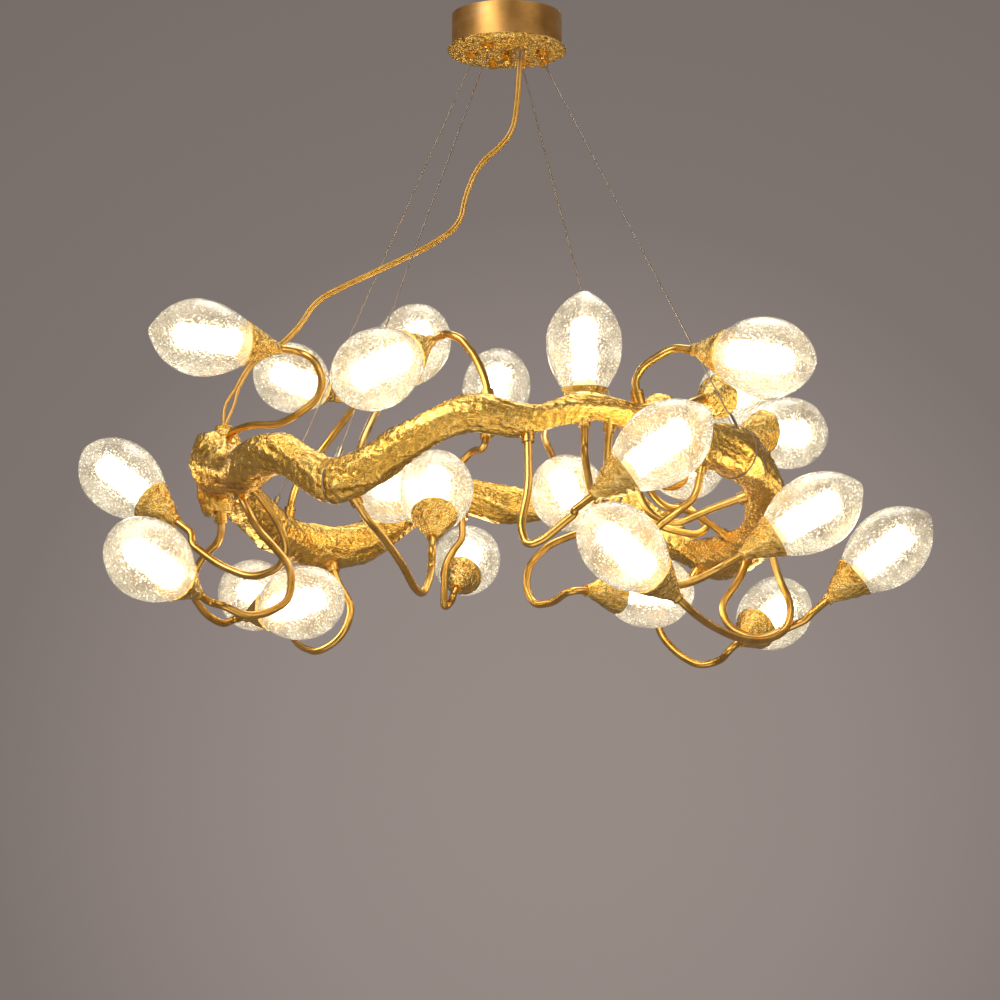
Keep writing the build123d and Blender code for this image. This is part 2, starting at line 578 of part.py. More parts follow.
with BuildPart() as lamp:
    with Locations((0, 0, holder_top)):
        Cylinder(LAMP_R, LAMP_L, align=(Align.CENTER, Align.CENTER, Align.MIN))
    fillet(lamp.edges().sort_by(Axis.Z)[-1], LAMP_R / 2)
with BuildPart() as lamps:
    with Locations(*CUP_FRAMES):
        add(lamp.part)
save(lamps, "lamps")

with BuildPart() as shade:
    with BuildSketch(Plane.XZ):
        for inset, mode in ((0, Mode.ADD), (SHADE_WALL, Mode.SUBTRACT)):
            with BuildLine():
                mouth, neck, low, low_mid, belly, top_mid, top, nose, nose_mid, tip = shade_outline(inset)
                Polyline((0, mouth[1]), mouth, neck, low)
                ThreePointArc(low, low_mid, belly)
                ThreePointArc(belly, top_mid, top)
                Line(top, nose)
                ThreePointArc(nose, nose_mid, tip)
                Line(tip, (0, mouth[1]))
            make_face(mode=mode)
    revolve(axis=Axis.Z)
with BuildPart() as shades:
    with Locations(*CUP_FRAMES):
        add(shade.part)
save(shades, "shades")

# Power cord from the gland to the stump
gland_bottom = plate_bottom - GLAND_L
cap_top = STUMP[-1][0] + CAP_H
cord_points = [Vector(*GLAND_POS, plate_bottom), Vector(*GLAND_POS, gland_bottom - 4 * CORD_R)]
cord_points += [RING_CENTRE + Vector(*point) for point in CORD]
cord_points += [cap_centre + Vector(0, 0, cap_top + 3 * CORD_R), cap_centre + Vector(0, 0, cap_top - CAP_H)]
with BuildPart() as power_cord:
    tube_along(cord_points, CORD_R)
save(power_cord, "power_cord")
print("cord bend radii", [round(radius) for radius in bend_radii(cord_points)])
print("cord length", round(sum((b - a).length for a, b in zip(cord_points, cord_points[1:]))))
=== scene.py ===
import math
import random

import bmesh
import bpy
import numpy as np
from bpy.props import FloatProperty, FloatVectorProperty, IntProperty, PointerProperty
from bpy.types import Operator, Panel, PropertyGroup
from mathutils import Matrix, Vector, noise


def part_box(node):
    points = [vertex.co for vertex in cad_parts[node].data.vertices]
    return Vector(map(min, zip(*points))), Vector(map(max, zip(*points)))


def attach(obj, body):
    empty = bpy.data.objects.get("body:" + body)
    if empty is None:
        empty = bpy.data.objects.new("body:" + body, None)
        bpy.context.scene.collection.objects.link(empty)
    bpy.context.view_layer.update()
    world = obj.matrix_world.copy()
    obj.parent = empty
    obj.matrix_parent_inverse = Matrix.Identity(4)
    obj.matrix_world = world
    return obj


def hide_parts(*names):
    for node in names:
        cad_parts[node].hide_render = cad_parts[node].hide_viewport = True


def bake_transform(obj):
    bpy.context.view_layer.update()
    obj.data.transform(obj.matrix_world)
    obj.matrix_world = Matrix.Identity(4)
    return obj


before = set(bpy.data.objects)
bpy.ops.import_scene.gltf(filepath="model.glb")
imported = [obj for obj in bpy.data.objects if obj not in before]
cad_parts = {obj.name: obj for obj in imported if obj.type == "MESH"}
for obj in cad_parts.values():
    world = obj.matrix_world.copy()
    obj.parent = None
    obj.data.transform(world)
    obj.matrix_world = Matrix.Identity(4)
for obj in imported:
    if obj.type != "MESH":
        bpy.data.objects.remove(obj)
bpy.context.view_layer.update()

bl_info = {
    "name": "Branch Chandelier",
    "version": (1, 0, 0),
    "blender": (4, 5, 0),
    "location": "View3D > Sidebar > Chandelier",
    "description": "Dresses a chandelier: cast branch ring, tube arms, seeded glass lights and canopy",
    "category": "Object",
}

RING_CENTRE = Vector((-0.016, 0.0, -0.507))
RING_RADIUS = 0.292
BRANCH_NODES = ("branch_head", "branch_front", "branch_right", "branch_back")
ARM_NODES = ("arms_head", "arms_front", "arms_right", "arms_back")
CABLE_NODES = ("cable_1", "cable_2", "cable_3", "cable_4")
NIPPLE_NODES = ("gripper_nipple_1", "gripper_nipple_2", "gripper_nipple_3", "gripper_nipple_4")

# Each light in metres and degrees, with heights above the cup's foot
LAMP_BASE = 0.050
CUP_RIM = (0.0250, 0.040)
CUP_SHOULDER = (0.0089, 0.0074)
CUP_BORE = 0.0042
CUP_GRADES = (0.1, 0.2, 0.3, 0.4, 0.5, 0.6, 0.7, 0.8, 0.9, 0.97, 1.0)
GLASS_WALL = 0.0028
GLASS_MOUTH = (0.0198, 0.032)
GLASS_NECK = (0.0222, 0.040)
GLASS_FREE = 0.045
BELLY_HEIGHT = 0.088
BELLY_LOW = {"centre": -0.035, "radius": 0.075, "slope": 36}
BELLY_TOP = {"centre": -0.018, "radius": 0.058, "slope": 55}
NOSE_RADIUS = 0.014

PLATE_MESH = 0.0014
PLATE_TOP = -0.0365
PLATE_DENT = 0.0036
PLATE_EDGE_DENT = 0.0022

# The cord's two cores stand apart between these distances from its end in the cap
SPLIT_END, SPLIT_START = 0.010, 0.052
CORD_SIDES = 12

# The cord's route from the gland to the stump's cap, in metres
CORD_ROUTE = (
    (0.014, -0.013, -0.043), (0.014, -0.013, -0.064), (0.011, -0.009, -0.102), (0.007, -0.006, -0.129),
    (-0.006, -0.005, -0.147), (-0.030, -0.006, -0.167), (-0.045, -0.008, -0.202), (-0.050, -0.009, -0.235),
    (-0.081, -0.010, -0.258), (-0.126, -0.010, -0.280), (-0.171, -0.010, -0.301), (-0.206, -0.010, -0.319),
    (-0.222, -0.010, -0.347), (-0.246, -0.011, -0.371), (-0.274, -0.013, -0.387), (-0.289, -0.018, -0.417),
)

# The backdrop's painted pool of light: its direction, then the cosine from it and the share of the backdrop's
# colour
LIGHT_POOL_DIRECTION = (0.0187, 0.9983, 0.0532)
LIGHT_POOL_SHADES = ((0.30, 0.70), (0.90, 0.62), (0.955, 0.63), (0.984, 0.72), (0.990, 0.86), (0.9985, 1.08))
SOFT_LIGHT = (0.62, 0.56, 0.50, 1.0)
SOFT_LIGHT_STRENGTH = 0.34
STUDIO_AIM = Vector((-0.016, 0.0, -0.42))
VIEW_PLACE = (-0.00744, -3.38651, -1.01297)
VIEW_TILT = math.radians(98.05)
VIEW_LENS = 115.2


class Wire:
    """A socket in a finish's node tree. Plain arithmetic on it adds Math nodes."""

    def __init__(self, socket):
        self.socket = socket
        self.tree = socket.id_data

    @staticmethod
    def node(tree, kind, settings=None, inputs=None, out=0):
        """Add a node, set it up, feed its sockets and hand back one of its outputs."""
        made = tree.nodes.new(kind)
        for key, value in (settings or {}).items():
            if key == "stops":
                stops = made.color_ramp.elements
                stops[0].position, stops[0].color = value[0][0], (*value[0][1], 1.0)
                stops[1].position, stops[1].color = value[-1][0], (*value[-1][1], 1.0)
                for place, colour in value[1:-1]:
                    stops.new(place).color = (*colour, 1.0)
            else:
                setattr(made, key, value)
        for key, value in (inputs or {}).items():
            if isinstance(value, Wire):
                tree.links.new(value.socket, made.inputs[key])
            else:
                made.inputs[key].default_value = value
        return Wire(made.outputs[out]) if made.outputs else made

    def maths(self, operation, *values):
        return Wire.node(self.tree, "ShaderNodeMath", {"operation": operation}, dict(enumerate(values)))

    def __add__(self, other):
        return self.maths("ADD", self, other)

    def __radd__(self, other):
        return self.maths("ADD", other, self)

    def __sub__(self, other):
        return self.maths("SUBTRACT", self, other)

    def __rsub__(self, other):
        return self.maths("SUBTRACT", other, self)

    def __mul__(self, other):
        return self.maths("MULTIPLY", self, other)

    def above(self, low, high):
        """0 below low, 1 above high and smooth between."""
        return Wire.node(self.tree, "ShaderNodeMapRange", {"interpolation_type": "SMOOTHSTEP"},
                         {"Value": self, "From Min": low, "From Max": high})

    def tinted(self, *stops):
        """A colour that runs through the stops as the value rises."""
        return Wire.node(self.tree, "ShaderNodeValToRGB", {"stops": stops}, {"Fac": self})


class BarkSizes(PropertyGroup):
    voxel: FloatProperty(name="Mesh size", description="Mesh size of the cast branch", default=0.0021,
                         min=0.001, unit="LENGTH")
    furrow: FloatProperty(name="Furrows", description="Depth of the long furrows", default=0.0027,
                          unit="LENGTH")
    wrinkle: FloatProperty(name="Wrinkles", description="Depth of the fine wrinkles", default=0.0011,
                           unit="LENGTH")
    crumple: FloatProperty(name="Crumples", description="Depth of the crumpled leaf", default=0.0012,
                           unit="LENGTH")
    hollow: FloatProperty(name="Hollows", description="Depth of the broad hollows and knots", default=0.0034,
                          unit="LENGTH")
    stretch: FloatProperty(name="Grain stretch", default=0.22, min=0.05,
                           description="How far the grain is drawn out along the branch")


class LightSizes(PropertyGroup):
    sides: IntProperty(name="Sides", description="Divisions round each glass and cup", default=40, min=12)
    cup_crumple: FloatProperty(name="Cup crumples", description="Depth of the dents in the cups",
                               default=0.0034, unit="LENGTH")
    glass_wave: FloatProperty(name="Glass wave", description="Unevenness of the blown glass", default=0.0009,
                              unit="LENGTH")
    seeds: IntProperty(name="Seeds", description="Bubbles in each glass", default=430, min=0)
    seed_size: FloatProperty(name="Seed size", description="Radius of the largest bubbles", default=0.0012,
                             unit="LENGTH")
    lamp_power: FloatProperty(name="Lamp glow", description="Strength of the lit lamps", default=9.0, min=0.0)


class CordSizes(PropertyGroup):
    width: FloatProperty(name="Width", description="Width of the twin cord", default=0.0066, unit="LENGTH")
    lobe: FloatProperty(name="Core", description="Radius of each core's sleeve", default=0.0018,
                        unit="LENGTH")
    split: FloatProperty(name="Split", description="How far the two cores stand apart above the cap",
                         default=0.0043, unit="LENGTH")


def colour_property(name, description, default):
    return FloatVectorProperty(name=name, description=description, subtype="COLOR", size=3, default=default,
                               min=0, max=1)


class FinishColours(PropertyGroup):
    gold: colour_property("Gold leaf", "Lit gold leaf", (0.97, 0.60, 0.12))
    # Dark gold: random darker toning, and painted shade in the folds of the branch, cups and plate
    gold_deep: colour_property("Gold in the folds", "Gold leaf in the folds", (0.21, 0.085, 0.006))
    tube: colour_property("Tube brass", "Brass of the bent tubes", (0.82, 0.49, 0.11))
    drum: colour_property("Drum brass", "Brushed brass of the canopy", (0.68, 0.37, 0.105))
    cord: colour_property("Cord", "Amber sleeve of the twin cord", (0.72, 0.37, 0.03))
    lamp: colour_property("Lamp", "Light of the lamps", (1.0, 0.86, 0.60))
    backdrop: colour_property("Backdrop", "Plain colour behind the object", (0.286, 0.239, 0.220))


class ChandelierSettings(PropertyGroup):
    bark: PointerProperty(type=BarkSizes)
    lights: PointerProperty(type=LightSizes)
    cord: PointerProperty(type=CordSizes)
    colours: PointerProperty(type=FinishColours)


def settings():
    return bpy.context.scene.chandelier


def new_finish(name, **constants):
    """A material with one shader, whose fixed sockets are set by name."""
    material = bpy.data.materials.new(name)
    material.use_nodes = True
    shader = material.node_tree.nodes["Principled BSDF"]
    for key, value in constants.items():
        shader.inputs[key.replace("_", " ")].default_value = value
    return material, material.node_tree, shader


def feed(tree, shader, **wires):
    """Link wires to a shader's sockets by name."""
    for key, wire in wires.items():
        tree.links.new(wire.socket, shader.inputs[key.replace("_", " ")])


def place_of(tree, stretch=(1, 1, 1), shift=(0, 0, 0)):
    """Coordinates on the piece, in metres, stretched per axis."""
    spot = Wire.node(tree, "ShaderNodeTexCoord", out="Object")
    return Wire.node(tree, "ShaderNodeMapping", None, {"Vector": spot, "Scale": stretch, "Location": shift})


def grain(tree, place, scale, detail=3.0, rough=0.55, warp=0.0):
    return Wire.node(tree, "ShaderNodeTexNoise", None,
                     {"Vector": place, "Scale": scale, "Detail": detail, "Roughness": rough,
                      "Distortion": warp})


def cells(tree, place, scale, feature="F1", spread=1.0):
    return Wire.node(tree, "ShaderNodeTexVoronoi", {"feature": feature},
                     {"Vector": place, "Scale": scale, "Randomness": spread})


def bump(tree, height, depth, strength=1.0):
    return Wire.node(tree, "ShaderNodeBump", None,
                     {"Height": height, "Distance": depth, "Strength": strength})


def gold_leaf_finish(name, shade_folds, crinkle_scale, crinkle_depth, course=False):
    """Gold leaf over rough casting, finely crinkled; where the mesh carries painted shade for its folds, the
    folds are painted brown and the ridges get a painted highlight.
    """
    colours = settings().colours
    material, tree, shader = new_finish(name, Metallic=1.0)
    place = place_of(tree)
    drawn = place
    if course:
        drawn = Wire.node(tree, "ShaderNodeAttribute", {"attribute_name": "flow"}, out="Vector")
    patch = grain(tree, place, 26.0, 3.0)
    fine = grain(tree, drawn, crinkle_scale, 5.0, 0.62, 0.5)
    crease = cells(tree, place, crinkle_scale * 0.9, "SMOOTH_F1")
    speck = grain(tree, place, crinkle_scale * 4.0, 2.0)
    tone = patch * 0.35 + fine * 0.55 + crease * 0.25 - 0.08
    # Painted shade and highlight: the mesh's ridge value darkens the folds and lightens the ridges
    if shade_folds:
        ridge = Wire.node(tree, "ShaderNodeAttribute", {"attribute_name": "ridge"}, out="Fac")
        tone = tone * 0.6 + ridge * 0.5
    # Dark gold to pale gold: random tone, and on shaded pieces painted shade in the folds and painted
    # highlight on the ridges
    gold, deep = Vector(colours.gold), Vector(colours.gold_deep)
    colour = tone.tinted((0.24, deep), (0.40, deep.lerp(gold, 0.5)), (0.55, gold),
                         (0.76, gold.lerp(Vector((1.0, 0.80, 0.34)), 0.6)))
    rough = 0.33 - tone * 0.20 + speck * 0.08
    height = fine * 1.0 + crease * 0.9 + speck * 0.25
    feed(tree, shader, Base_Color=colour, Roughness=rough, Normal=bump(tree, height, crinkle_depth))
    return material


def tube_finish():
    """Brushed and lacquered brass tube with faint tarnish."""
    colours = settings().colours
    material, tree, shader = new_finish("tube_brass", Metallic=1.0, Coat_Roughness=0.12)
    place = place_of(tree)
    tarnish = grain(tree, place, 34.0, 4.0, 0.6)
    brush = grain(tree, place, 900.0, 2.0)
    tube = Vector(colours.tube)
    colour = (tarnish * 0.75 + brush * 0.25).tinted(
        (0.28, tube * 0.52), (0.52, tube), (0.78, tube.lerp(Vector((1, 0.85, 0.5)), 0.4)))
    feed(tree, shader, Base_Color=colour, Roughness=0.20 + tarnish * 0.14 + brush * 0.06,
         Normal=bump(tree, brush + tarnish * 2.0, 0.0003, 0.5), Coat_Weight=tarnish * 0.3)
    return material


def turned_finish(name, colour_vector, rough_low, lines, share=0.55):
    """Brass brushed or turned round the vertical axis: fine rings and soft vertical shading."""
    material, tree, shader = new_finish(name, Metallic=1.0)
    rings = grain(tree, place_of(tree, (6, 6, lines)), 1.0, 4.0, 0.7)
    smear = grain(tree, place_of(tree), 22.0, 3.0)
    tint = Vector(colour_vector)
    colour = (rings * share + smear * (1 - share)).tinted(
        (0.3, tint * 0.62), (0.5, tint), (0.72, tint.lerp(Vector((1, 0.9, 0.62)), 0.35)))
    feed(tree, shader, Base_Color=colour, Roughness=rough_low + rings * 0.16 + smear * 0.08,
         Normal=bump(tree, rings, 0.00025, share * 0.8))
    return material


def steel_finish(name, tint, lay_scale):
    """Bright steel; the strand's lay shows as fine slanted lines where the scale is given."""
    material, tree, shader = new_finish(name, Metallic=1.0)
    place = place_of(tree)
    dull = grain(tree, place, 60.0, 3.0)
    tint = Vector(tint)
    colour = dull.tinted((0.3, tint * 0.55), (0.7, tint))
    height = dull
    if lay_scale:
        height = Wire.node(tree, "ShaderNodeTexWave", {"wave_type": "BANDS", "bands_direction": "DIAGONAL"},
                           {"Vector": place, "Scale": lay_scale, "Distortion": 0.4}, out="Fac")
        colour = (height * 0.6 + dull * 0.4).tinted((0.15, tint * 0.72), (0.75, tint))
    feed(tree, shader, Base_Color=colour, Roughness=0.22 + dull * 0.22,
         Normal=bump(tree, height, 0.0004, 0.3))
    return material


def seeded_glass_finish():
    """Clear blown glass full of small seeds; the lamp's light on the seeds and a faint haze in the glass are
    painted on as glow.
    """
    colours = settings().colours
    material, tree, shader = new_finish("seeded_glass", Transmission_Weight=1.0, IOR=1.32,
                                        Emission_Strength=1.0)
    place = place_of(tree)
    crowd = grain(tree, place, 40.0, 2.0)
    shimmer = grain(tree, place, 480.0, 2.0, 0.6).above(0.42, 0.66)
    large = 1 - cells(tree, place, 290.0).above(0.15, 0.27)
    small = 1 - cells(tree, place, 520.0).above(0.13, 0.27)
    thick = crowd.above(0.30, 0.62)
    seeds = (large + small * 0.7) * (thick * 0.8 + 0.2)
    # Painted glow: the lamp's light on the seeds, a shimmer, and a faint haze where the seeds crowd
    glow = seeds * 0.58 + shimmer * thick * 0.14 + thick * 0.03 + 0.012
    warm = Vector(colours.lamp).lerp(Vector((1.0, 0.95, 0.86)), 0.30)
    emission = glow.tinted((0.0, (0.0, 0.0, 0.0)), (1.0, warm))
    swirl = grain(tree, place, 55.0, 1.0, 0.4, 0.8)
    height = large + small * 0.5 + shimmer * 0.25 + swirl * 0.6
    feed(tree, shader, Base_Color=crowd.tinted((0.2, (0.98, 0.93, 0.81)), (0.8, (1.0, 0.98, 0.90))),
         Emission_Color=emission, Roughness=0.015 + seeds * 0.06, Normal=bump(tree, height, 0.0006, 0.6))
    return material


def seed_finish():
    """Bubbles with the lamp's light on them painted as glow: most sparkle, a few stay dark."""
    material, tree, shader = new_finish("lit_seeds", Emission_Strength=1.6, Roughness=0.2)
    chance = grain(tree, place_of(tree), 330.0, 1.0)
    warm = Vector(settings().colours.lamp).lerp(Vector((1.0, 0.97, 0.92)), 0.40)
    # Painted glow stands for the lamp's light caught by the seeds
    feed(tree, shader, Base_Color=chance.tinted((0.32, (0.36, 0.24, 0.09)), (0.58, (0.95, 0.91, 0.82))),
         Emission_Color=chance.tinted((0.37, (0.05, 0.03, 0.01)), (0.44, warm * 0.55), (0.60, warm)))
    return material


def lamp_finish():
    """Frosted lamp, lit."""
    sizes, colours = settings().lights, settings().colours
    material, tree, shader = new_finish("lit_lamp", Emission_Strength=sizes.lamp_power, Roughness=0.55)
    mottle = grain(tree, place_of(tree), 90.0, 2.0)
    warm = Vector(colours.lamp)
    feed(tree, shader, Emission_Color=mottle.tinted((0.3, warm), (0.7, warm.lerp(Vector((1, 1, 1)), 0.35))),
         Base_Color=mottle.tinted((0.3, (0.90, 0.86, 0.78)), (0.7, (0.96, 0.94, 0.90))))
    return material


def moulded_finish(name, tint, rough, glow=0.0):
    """Moulded plastic or ceramic with a faint orange-peel skin; a glow, where given, paints the lamp's light
    onto it as emission.
    """
    material, tree, shader = new_finish(name, Emission_Strength=glow)
    peel = grain(tree, place_of(tree), 420.0, 2.0)
    cloud = grain(tree, place_of(tree), 55.0, 2.0)
    tint = Vector(tint)
    colour = cloud.tinted((0.3, tint * 0.86), (0.7, tint))
    feed(tree, shader, Base_Color=colour, Roughness=rough + peel * 0.12, Normal=bump(tree, peel, 0.0002, 0.4))
    # Painted light: the glow lights the colour by emission
    if glow:
        feed(tree, shader, Emission_Color=colour)
    return material


def cord_finish():
    """Amber see-through sleeve over bright stranded copper."""
    colours = settings().colours
    material, tree, shader = new_finish("amber_cord", Coat_Roughness=0.08, Metallic=0.55)
    place = place_of(tree)
    strand = Wire.node(tree, "ShaderNodeTexWave", {"wave_type": "BANDS", "bands_direction": "DIAGONAL"},
                       {"Vector": place, "Scale": 420.0, "Distortion": 1.0}, out="Fac")
    cloud = grain(tree, place, 120.0, 3.0)
    tint = Vector(colours.cord)
    colour = (strand * 0.5 + cloud * 0.5).tinted(
        (0.2, tint * 0.5), (0.5, tint), (0.85, tint.lerp(Vector((1, 0.8, 0.3)), 0.45)))
    feed(tree, shader, Base_Color=colour, Roughness=0.24 + cloud * 0.14, Coat_Weight=0.6 + cloud * 0.3,
         Normal=bump(tree, strand, 0.0002, 0.35))
    return material


def paint(node, material):
    """Give a carried-over CAD node a finish."""
    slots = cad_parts[node].material_slots
    for slot in slots:
        slot.material = material


def add_piece(name, mesh, body, material, slot, *nodes):
    """Put a mesh in the scene on a body, in the place of the CAD nodes it stands for."""
    piece = bpy.data.objects.new(name, mesh)
    bpy.context.scene.collection.objects.link(piece)
    mesh.materials.append(material)
    if body:
        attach(piece, body)
    if nodes:
        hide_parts(*nodes)
    return piece


def smooth(mesh):
    mesh.polygons.foreach_set("use_smooth", [True] * len(mesh.polygons))
    mesh.update()
    return mesh


def joined_nodes(name, nodes):
    """One new mesh that holds copies of several CAD nodes."""
    made = bmesh.new()
    for node in nodes:
        made.from_mesh(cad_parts[node].data)
    bmesh.ops.remove_doubles(made, verts=made.verts, dist=1e-6)
    mesh = bpy.data.meshes.new(name)
    made.to_mesh(mesh)
    made.free()
    return mesh


def remeshed(mesh, voxel):
    """A mesh rebuilt as even quads."""
    holder = bpy.data.objects.new("remesh", mesh)
    bpy.context.scene.collection.objects.link(holder)
    grid = holder.modifiers.new("grid", "REMESH")
    grid.mode = "VOXEL"
    grid.voxel_size = voxel
    evaluated = holder.evaluated_get(bpy.context.evaluated_depsgraph_get())
    result = bpy.data.meshes.new_from_object(evaluated)
    bpy.data.objects.remove(holder)
    return result


def islands(node):
    """The separate solids of a CAD node, as lists of points."""
    made = bmesh.new()
    made.from_mesh(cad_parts[node].data)
    bmesh.ops.remove_doubles(made, verts=made.verts, dist=1e-6)
    left = set(made.verts)
    found = []
    for first in made.verts:
        if first not in left:
            continue
        left.remove(first)
        front = [first]
        points = []
        while front:
            vert = front.pop()
            points.append(vert.co.copy())
            for edge in vert.link_edges:
                other = edge.other_vert(vert)
                if other in left:
                    left.remove(other)
                    front.append(other)
        found.append(points)
    made.free()
    return found


def middle(points):
    low = Vector(min(p[i] for p in points) for i in range(3))
    high = Vector(max(p[i] for p in points) for i in range(3))
    return (low + high) / 2


def light_frames():
    """Each light's place: the matrix whose z runs from the cup's foot to the glass tip."""
    cups = [middle(points) for points in islands("cups")]
    lamps = islands("lamps")
    frames = []
    for points in lamps:
        cloud = np.array([tuple(p) for p in points])
        centre = cloud.mean(axis=0)
        axis = Vector(np.linalg.svd(cloud - centre)[2][0])
        spot = Vector(centre)
        cup = min(cups, key=lambda c: (c - spot).length)
        if axis.dot(spot - cup) < 0:
            axis = -axis
        base = min(points, key=lambda p: p.dot(axis)).dot(axis)
        foot = spot + axis * (base - LAMP_BASE - spot.dot(axis))
        turn = axis.to_track_quat("Z", "Y").to_matrix().to_4x4()
        frames.append(Matrix.Translation(foot) @ turn)
    return frames


LIGHTS = light_frames()


def spun(name, outline, sides, wobble):
    """One mesh of a closed outline spun round every light's axis; wobble moves a point along its radius and
    gives it a painted shade value for the folds.
    """
    made = bmesh.new()
    ridge = made.verts.layers.float.new("ridge")
    for number, light in enumerate(LIGHTS):
        rings = []
        for radius, height in outline:
            ring = []
            for side in range(sides):
                turn = 2 * math.pi * side / sides
                extra, shade = wobble(number, turn, radius, height)
                reach = max(radius + extra, 0.0)
                spot = Vector((reach * math.cos(turn), reach * math.sin(turn), height))
                vert = made.verts.new(light @ spot)
                vert[ridge] = shade
                ring.append(vert)
                if radius == 0:
                    break
            rings.append(ring)
        for low, high in zip(rings, rings[1:] + rings[:1]):
            for side in range(sides):
                after = (side + 1) % sides
                if len(low) == 1 and len(high) == 1:
                    break
                if len(low) == 1:
                    made.faces.new((low[0], high[after], high[side]))
                elif len(high) == 1:
                    made.faces.new((low[side], low[after], high[0]))
                else:
                    made.faces.new((low[side], low[after], high[after], high[side]))
    bmesh.ops.recalc_face_normals(made, faces=made.faces)
    mesh = bpy.data.meshes.new(name)
    made.to_mesh(mesh)
    made.free()
    return smooth(mesh)


def arc(centre_r, centre_z, radius, first, last, steps):
    """Points of an arc in an outline, by angles in degrees."""
    points = []
    for step in range(steps + 1):
        turn = math.radians(first + (last - first) * step / steps)
        points.append((centre_r + radius * math.cos(turn), centre_z + radius * math.sin(turn)))
    return points


def run(start, end, steps):
    """Points between two places of an outline, the first left out."""
    return [(start[0] + (end[0] - start[0]) * s / steps, start[1] + (end[1] - start[1]) * s / steps)
            for s in range(1, steps + 1)]


def glass_wall(inset):
    """One face of the glass from its mouth to its tip: cone, belly and blunt nose."""
    slope = math.radians(BELLY_TOP["slope"])
    low = arc(BELLY_LOW["centre"], BELLY_HEIGHT, BELLY_LOW["radius"] - inset, -BELLY_LOW["slope"], 0, 7)
    top = arc(BELLY_TOP["centre"], BELLY_HEIGHT, BELLY_TOP["radius"] - inset, 0, BELLY_TOP["slope"], 8)
    shoulder = BELLY_TOP["centre"] + BELLY_TOP["radius"] * math.cos(slope)
    climb = (shoulder - NOSE_RADIUS * math.cos(slope)) / math.tan(slope)
    nose_z = BELLY_HEIGHT + BELLY_TOP["radius"] * math.sin(slope) + climb - NOSE_RADIUS * math.sin(slope)
    nose = arc(0.0, nose_z, NOSE_RADIUS - inset, BELLY_TOP["slope"], 90, 4)
    mouth = (GLASS_MOUTH[0] - inset, GLASS_MOUTH[1])
    neck = (GLASS_NECK[0] - inset, GLASS_NECK[1])
    wall = [mouth] + run(mouth, neck, 2) + run(neck, low[0], 1) + low[1:] + top[1:]
    wall += run(top[-1], nose[0], 1) + nose[1:]
    return wall[:-1] + [(0.0, wall[-1][1])]


def glass_sway(number, turn, height):
    """How far blown glass strays from a true turned form."""
    if height < GLASS_FREE:
        return 0.0
    here = Vector((math.cos(turn), math.sin(turn), height * 22 + number * 5.7))
    return settings().lights.glass_wave * (noise.noise(here * 1.3) - 0.6)


class CHANDELIER_OT_branch(Operator):
    """Cast branch ring: furrowed, crumpled and gilded"""

    bl_idname = "chandelier.branch"
    bl_label = "Branch"

    def execute(self, context):
        bark = settings().bark
        mesh = remeshed(joined_nodes("branch_cast", BRANCH_NODES), bark.voxel)
        count = len(mesh.vertices)
        places = np.empty(count * 3, np.float32)
        mesh.vertices.foreach_get("co", places)
        places = places.reshape(-1, 3)
        normals = np.array([tuple(v.normal) for v in mesh.vertices], np.float32)
        turn = np.arctan2(places[:, 1] - RING_CENTRE.y, places[:, 0] - RING_CENTRE.x)
        out = np.hypot(places[:, 0] - RING_CENTRE.x, places[:, 1] - RING_CENTRE.y) - RING_RADIUS
        bins = ((turn + math.pi) / (2 * math.pi) * 180).astype(int) % 180
        heights = np.array([places[bins == b, 2].mean() for b in range(180)])
        heights = sum(np.roll(heights, shift) for shift in range(-2, 3)) / 5
        rise = places[:, 2] - heights[bins]
        spiral = 3 * turn
        across = out * np.cos(spiral) - rise * np.sin(spiral)
        lift = out * np.sin(spiral) + rise * np.cos(spiral)
        reach = RING_RADIUS * bark.stretch + across
        flow = np.stack((reach * np.cos(turn), reach * np.sin(turn), lift), axis=1)
        ridge = np.empty(count, np.float32)
        for index in range(count):
            here = Vector(places[index])
            grain_place = Vector(flow[index])
            furrow = 1 - 2 * abs(noise.noise(grain_place * 48)) ** 0.85
            wrinkle = 1 - 2 * abs(noise.noise(grain_place * 165 + Vector((5, 0, 0))))
            broad = noise.noise(here * 21 + Vector((3.1, 0, 0)))
            crumple = noise.turbulence(here * 80, 2, True)
            # Painted shade and highlight: darker down the furrows and in the crumples, lighter on the ridges
            ridge[index] = 0.46 + 0.22 * furrow + 0.20 * wrinkle - 0.25 * crumple
            depth = (bark.furrow * (furrow - 0.45) + bark.wrinkle * (wrinkle - 0.3)
                     + bark.hollow * (broad - 0.1) + bark.crumple * (0.4 - crumple))
            places[index] += normals[index] * depth
        mesh.vertices.foreach_set("co", places.ravel())
        shade = mesh.attributes.new("ridge", "FLOAT", "POINT")
        shade.data.foreach_set("value", ridge)
        course = mesh.attributes.new("flow", "FLOAT_VECTOR", "POINT")
        course.data.foreach_set("vector", flow.astype(np.float32).ravel())
        finish = gold_leaf_finish("gilded_bark", True, 230.0, 0.0014, course=True)
        add_piece("branch_cast", smooth(mesh), "ring", finish, "leaf_brass", *BRANCH_NODES)
        cap = gold_leaf_finish("gilded_cap", False, 210.0, 0.0012)
        paint("cord_cap", cap)
        paint("wiring_covers", cap)
        return {"FINISHED"}


class CHANDELIER_OT_arms(Operator):
    """Bent tube arms with their collars and screws"""

    bl_idname = "chandelier.arms"
    bl_label = "Arms"

    def execute(self, context):
        tube = tube_finish()
        for node in ARM_NODES:
            paint(node, tube)
        paint("arm_collars", turned_finish("collar_brass", settings().colours.tube, 0.16, 300.0))
        screw = steel_finish("screw_steel", (0.62, 0.58, 0.52), 0.0)
        paint("collar_screws", screw)
        paint("cover_screws", screw)
        return {"FINISHED"}


